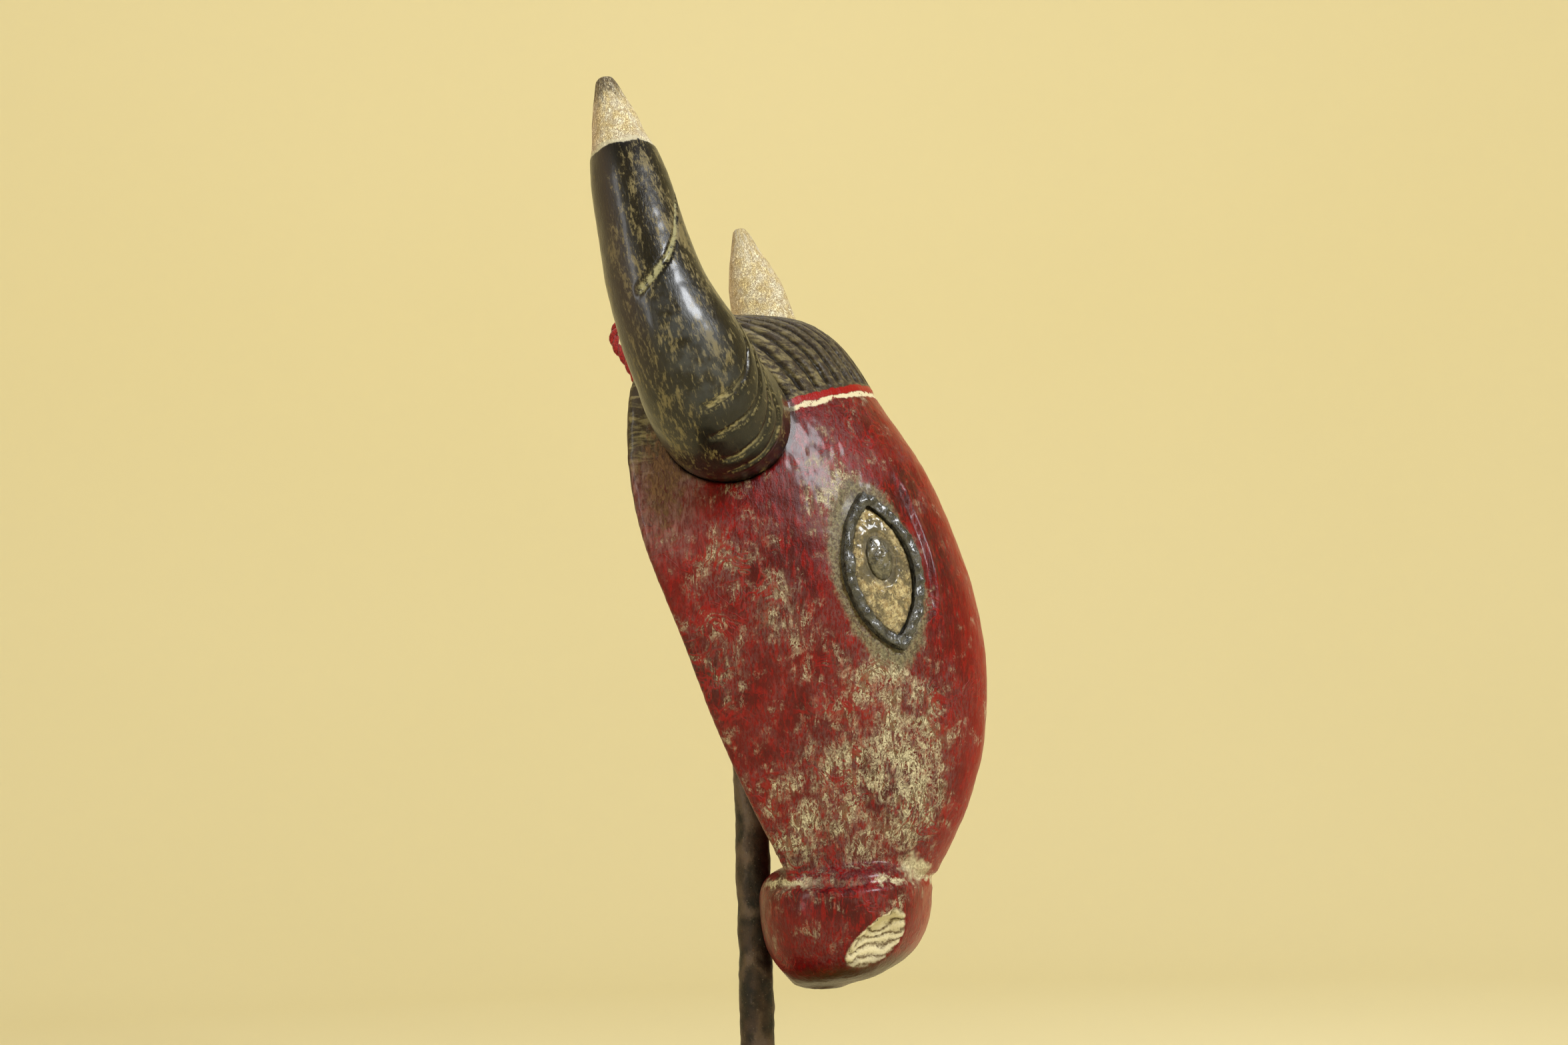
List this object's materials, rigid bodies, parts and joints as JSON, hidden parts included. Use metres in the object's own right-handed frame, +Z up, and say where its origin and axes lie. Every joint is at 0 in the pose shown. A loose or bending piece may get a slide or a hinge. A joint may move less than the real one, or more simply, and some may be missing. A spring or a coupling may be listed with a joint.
{
  "type": "carved bull head mask on stand",
  "caption": "Hollow-backed carved wooden bull-head mask with upswept horns and inlaid eyes, resting on an iron post with a flat foot plate.",
  "frame": {"origin": "middle of the stand's felt underside, on the post's axis", "axes": "+Z up along the post; the mask faces -Y; X runs across the face, from horn to horn"},
  "size_m": [0.2472, 0.1579, 0.4065],
  "materials": {
    "stand_iron": "hammered, dark waxed",
    "felt": "felt",
    "screw_steel": "satin",
    "rest_steel": "satin",
    "pad_leather": "matt",
    "rivet_brass": "satin",
    "painted_head": "worn crimson paint over cream primer",
    "dark_horn": "polished black stain, pale scraped tip",
    "bare_wood": "unfinished",
    "pitch": "glossy black resin",
    "eye_inlay": "golden cream gilt",
    "pupil_glaze": "high gloss",
    "red_yarn": "twisted yarn"
  },
  "bodies": {
    "stand": {"base_plate": "stand_iron", "base_felt": "felt", "post_screw": "screw_steel", "post_collar": "stand_iron", "post": "stand_iron"},
    "rest": {"rest_pin": "rest_steel", "rest_pad": "pad_leather", "rest_rivet_1": "rivet_brass", "rest_rivet_2": "rivet_brass"},
    "mask": {"head": "painted_head", "horn_left": "dark_horn", "horn_right": "dark_horn", "horn_dowel_left": "bare_wood", "horn_dowel_right": "bare_wood", "eye_rim_left": "pitch", "eye_rim_right": "pitch", "eye_inlay_left": "eye_inlay", "eye_inlay_right": "eye_inlay", "pupil_left": "pupil_glaze", "pupil_right": "pupil_glaze", "cord_knot": "red_yarn", "hanging_cord": "red_yarn"}
  },
  "joints": [
    {"name": "rest_swivel", "type": "hinge", "parent": "stand", "child": "rest", "pos_m": [0, 0, 0.3], "axis": [0, 0, 1], "continuous": true},
    {"name": "mask_lift", "type": "slide", "parent": "rest", "child": "mask", "axis": [0, -0.342, 0.9397], "range_m": [0, 0.15]}
  ]
}
